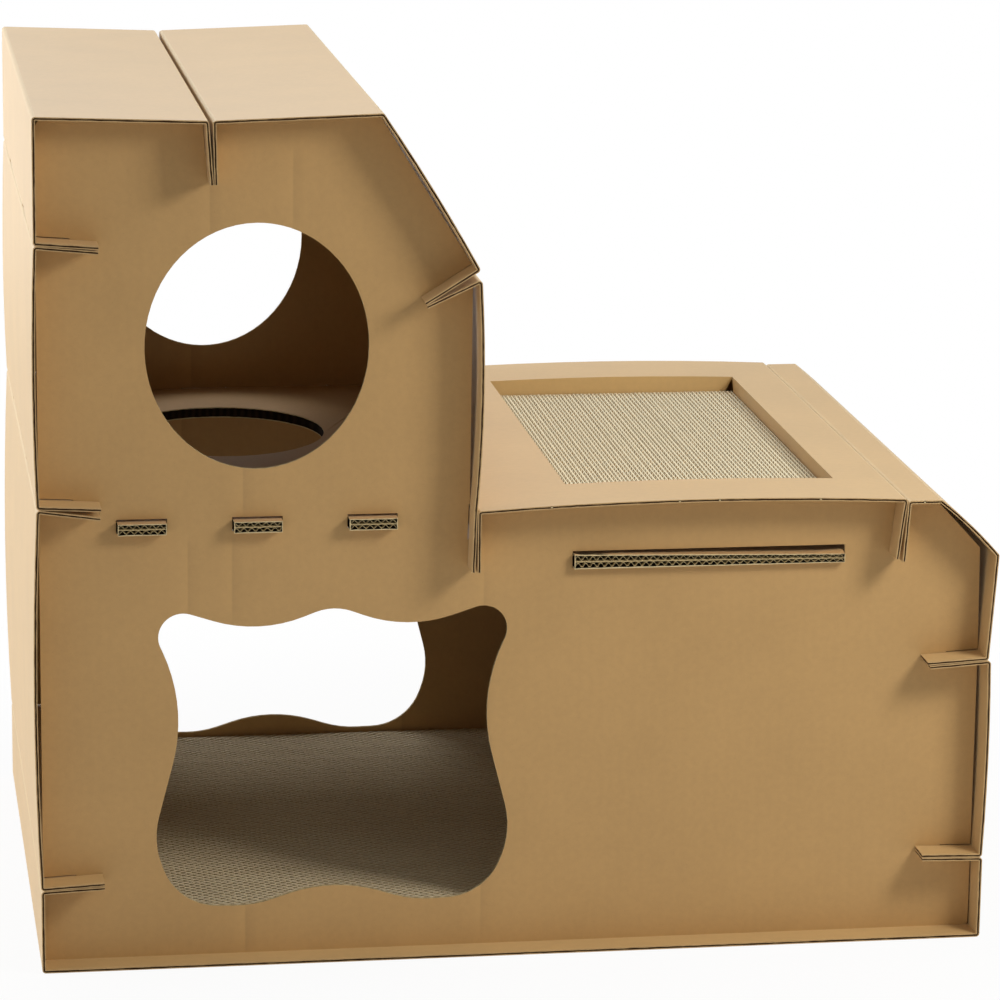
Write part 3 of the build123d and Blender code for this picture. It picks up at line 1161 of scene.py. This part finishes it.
@dataclass(frozen=True)
class Lamp:
    """One square soft lamp.

    Attributes:
        name: Its name.
        place: Where it hangs.
        size: Its width.
        power: Its power in watts.
        colour: Its colour.
        target: Where it points.
    """

    name: str
    place: tuple[float, float, float]
    size: float
    power: float
    colour: str
    target: tuple[float, float, float] = (0.0, 0.0, 0.3)

    def build(self) -> None:
        """Hangs the lamp."""
        data = bpy.data.lights.new(self.name, "AREA")
        data.size = self.size
        data.energy = self.power
        data.color = linear(self.colour)[:3]
        lamp = bpy.data.objects.new(self.name, data)
        lamp.location = self.place
        aim = Vector(self.target) - Vector(self.place)
        lamp.rotation_euler = aim.to_track_quat("-Z", "Y").to_euler()
        bpy.context.scene.collection.objects.link(lamp)


@dataclass
class Studio:
    """A pale studio: the camera as the photograph was taken, soft lamps and a white floor.

    Attributes:
        focal_pixels: The lens's focal length in pixels of the frame.
        frame_pixels: The frame's width and height.
        sensor: The sensor's width in millimetres.
        yaw: The camera's turn about the upright axis, in radians.
        pitch: Its tilt below the horizon.
        roll: Its turn about the line of sight.
        corner: The left front foot of the house as the camera sees it, in metres: right,
            up and away.
        lamps: The soft lamps.
        sky: The strength of the light from all round.
        floor_reach: How far the floor reaches each way.
        floor_drop: How far it lies below the house's foot.
    """

    focal_pixels: float = 4358.7
    frame_pixels: float = 1000.0
    sensor: float = 36.0
    yaw: float = 0.154
    pitch: float = 0.233
    roll: float = 0.012
    corner: tuple[float, float, float] = (-0.33282, -0.34459, 3.17068)
    lamps: tuple[Lamp, ...] = (
        Lamp("key", (0.92, -0.87, 1.1), 0.4, 10.4, "#FFFAF0", (-0.05, -0.2, 0.25)),
        Lamp("overhead", (0.4, -0.1, 2.2), 1.0, 7.5, "#FFFDF8"),
        Lamp("behind", (-0.2, 1.2, 1.8), 0.8, 8.5, "#FFFFFF"),
        Lamp("left_side", (-2.2, 0.2, 0.4), 1.6, 42.0, "#F8FAFF", (0.0, 0.0, 0.2)),
        Lamp("low_behind", (-1.0, 2.4, 0.6), 1.6, 9.0, "#FFFFFF"),
    )
    sky: float = 0.22
    floor_reach: float = 12.0
    floor_drop: float = 0.3 * MM

    def build(self, foot: Vector) -> None:
        """Makes the camera, the lamps, the world and the floor.

        Args:
            foot: The left front foot of the house.
        """
        self._camera(foot)
        self._world()
        for lamp in self.lamps:
            lamp.build()
        self._floor()

    def _camera(self, foot: Vector) -> None:
        """Makes the camera.

        Args:
            foot: The left front foot of the house.
        """
        data = bpy.data.cameras.new("camera")
        data.sensor_width = self.sensor
        data.lens = self.focal_pixels / self.frame_pixels * self.sensor
        data.clip_end = 50
        camera = bpy.data.objects.new("camera", data)
        bpy.context.scene.collection.objects.link(camera)
        cos_yaw, sin_yaw = math.cos(self.yaw), math.sin(self.yaw)
        cos_pitch, sin_pitch = math.cos(self.pitch), math.sin(self.pitch)
        away = Vector((sin_yaw * cos_pitch, cos_yaw * cos_pitch, -sin_pitch))
        level_up = Vector((sin_yaw * sin_pitch, cos_yaw * sin_pitch, cos_pitch))
        level_right = Vector((cos_yaw, -sin_yaw, 0.0))
        right = level_right * math.cos(self.roll) + level_up * math.sin(self.roll)
        up = level_up * math.cos(self.roll) - level_right * math.sin(self.roll)
        place = foot - right * self.corner[0] - up * self.corner[1] - away * self.corner[2]
        turn = Matrix((right, up, -away)).transposed().to_4x4()
        camera.matrix_world = Matrix.Translation(place) @ turn
        bpy.context.scene.camera = camera

    def _seen(self, tree: bpy.types.NodeTree) -> bpy.types.NodeSocket:
        """Tells the rays that look at the background, straight or by a reflection.

        Args:
            tree: The tree that gets the nodes.

        Returns:
            One for such a ray and nought for a ray that gathers soft light.
        """
        rays = add_node(tree, "ShaderNodeLightPath").outputs
        seen = rays["Is Camera Ray"]
        for kind in ("Is Glossy Ray", "Is Transmission Ray"):
            seen = add_node(
                tree, "ShaderNodeMath", {0: seen, 1: rays[kind]}, operation="MAXIMUM"
            ).outputs[0]
        return seen

    def _world(self) -> None:
        """Makes a pale world that the camera sees as white."""
        world = bpy.data.worlds.new("studio")
        world.use_nodes = True
        tree = world.node_tree
        tree.nodes.clear()
        soft = add_node(
            tree, "ShaderNodeBackground", {"Color": linear("#FFFAF2"), "Strength": self.sky}
        )
        white = add_node(tree, "ShaderNodeBackground", {"Color": linear("#FFFFFF")})
        mixed = add_node(
            tree,
            "ShaderNodeMixShader",
            {0: self._seen(tree), 1: soft.outputs[0], 2: white.outputs[0]},
        )
        add_node(tree, "ShaderNodeOutputWorld", {"Surface": mixed.outputs[0]})
        bpy.context.scene.world = world

    def _floor(self) -> None:
        """Lays a pale matt floor that comes out white and keeps a faint shadow."""
        data = bpy.data.meshes.new("floor")
        reach = self.floor_reach
        corners = [(-reach, -reach, 0), (reach, -reach, 0), (reach, reach, 0), (-reach, reach, 0)]
        data.from_pydata(corners, [], [(0, 1, 2, 3)])
        floor = bpy.data.objects.new("floor", data)
        floor.location.z = -self.floor_drop
        bpy.context.scene.collection.objects.link(floor)
        material, tree = new_material("studio_floor")
        matt = add_node(tree, "ShaderNodeBsdfDiffuse", {"Color": linear("#F4F4F4")})
        glow = add_node(tree, "ShaderNodeEmission", {"Color": linear("#FFFFFF")})
        place = add_node(tree, "ShaderNodeTexCoord").outputs["Object"]
        away = add_node(tree, "ShaderNodeVectorMath", {0: place}, operation="LENGTH")
        white = add_node(
            tree,
            "ShaderNodeMapRange",
            {
                "Value": away.outputs["Value"],
                "From Min": 0.4,
                "From Max": 0.8,
                "To Min": 0.93,
                "To Max": 1.0,
            },
            interpolation_type="SMOOTHSTEP",
        )
        share = add_node(
            tree,
            "ShaderNodeMath",
            {0: self._seen(tree), 1: white.outputs[0]},
            operation="MULTIPLY",
        )
        mixed = add_node(
            tree,
            "ShaderNodeMixShader",
            {0: share.outputs[0], 1: matt.outputs[0], 2: glow.outputs[0]},
        )
        add_node(tree, "ShaderNodeOutputMaterial", {"Surface": mixed.outputs[0]})
        data.materials.append(material)


@dataclass
class Nicks:
    """Small uncut bridges of pale paper left on the front edge of a die-cut sheet.

    Attributes:
        node: The sheet that carries them.
        places: Their places from the left wall, in millimetres.
        width: The width of each.
        depth: How far each reaches to the back.
        drop: How far each reaches down.
    """

    node: str
    places: tuple[float, ...]
    width: float = 1.4 * MM
    depth: float = 1.5 * MM
    drop: float = 1.6 * MM

    def build(self, sheet: bpy.types.Object, left: float, finishes: Finishes) -> None:
        """Sets each nick on the sheet's front edge.

        Args:
            sheet: The sheet's solid.
            left: The place of the left wall.
            finishes: The finishes of the house.
        """
        solid = bmesh.new()
        solid.from_mesh(sheet.data)
        tree = BVHTree.FromBMesh(solid)
        solid.free()
        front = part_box(self.node)[0].y
        faces = Faces()
        for place in self.places:
            x = left + place * MM
            above = Vector((x, front + 0.5 * MM, 2.0))
            top = tree.ray_cast(above, Vector((0, 0, -1)))[0].z
            low = Vector((x - self.width / 2, front, top - self.drop))
            high = Vector((x + self.width / 2, front + self.depth, top - 0.05 * MM))
            faces.box(low, high, 0, 0)
        piece = faces.piece(f"{self.node}_nicks", (finishes.cut,))
        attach(piece, BODY)


def main() -> None:
    """Loads the frame, dresses every sheet and pad, and sets up the studio."""
    logging.basicConfig(level=logging.INFO, format="%(name)s: %(message)s")
    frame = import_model()
    nodes = frame["nodes"]
    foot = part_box("base_tray")[0]
    finishes = Finishes.make(CREASES, foot.x)
    panel_finishes = (finishes.panel, finishes.cut, finishes.flutes, finishes.panel)
    wall_finishes = (finishes.wall, finishes.wall_cut, finishes.recess, finishes.fold)
    shelf_finishes = (finishes.shelf, finishes.cut, finishes.deep, finishes.shelf)
    panel_low, panel_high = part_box(PANELS[0])
    floor_low, floor_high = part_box("upper_floor")
    sheet = panel_high.y - panel_low.y
    double_board = floor_high.z - floor_low.z
    for node in PANELS:
        Board(node, sheet, panel_finishes, Slot.KRAFT).build(nodes[node])
    for node in FOLDED_SHEETS:
        Board(node, sheet, wall_finishes, Slot.KRAFT, folded=True).build(nodes[node])
    nicks = (Nicks("lower_roof", (370.7, 464.7, 494.3, 569.3)), Nicks("shoulder", (647.4,)))
    for nick in nicks:
        nick.build(nodes[nick.node], foot.x, finishes)
    shelves = (
        Shelf("upper_floor", double_board, shelf_finishes, Slot.DOUBLE_WALL, back_lift=3.4 * MM),
        Shelf("pad_shelf", double_board, shelf_finishes, Slot.DOUBLE_WALL, swell=0.3, squash=0.22),
    )
    for shelf in shelves:
        shelf.build(nodes[shelf.node])
        shelf.flutes(finishes)
    ScratchPad("roof_pad", Axis.Y, seed=3).build(finishes)
    floor_pad = ScratchPad(
        "floor_pad",
        Axis.X,
        liner=0.6 * MM,
        middle_liner=0.5 * MM,
        liner_drop=0.5 * MM,
        drift=(math.pi, 0.3),
        medium=0.8 * MM,
        seed=5,
    )
    floor_pad.build(finishes)
    Studio().build(foot)
    bpy.context.scene.view_settings.view_transform = "Standard"


if __name__ == "__main__":
    main()
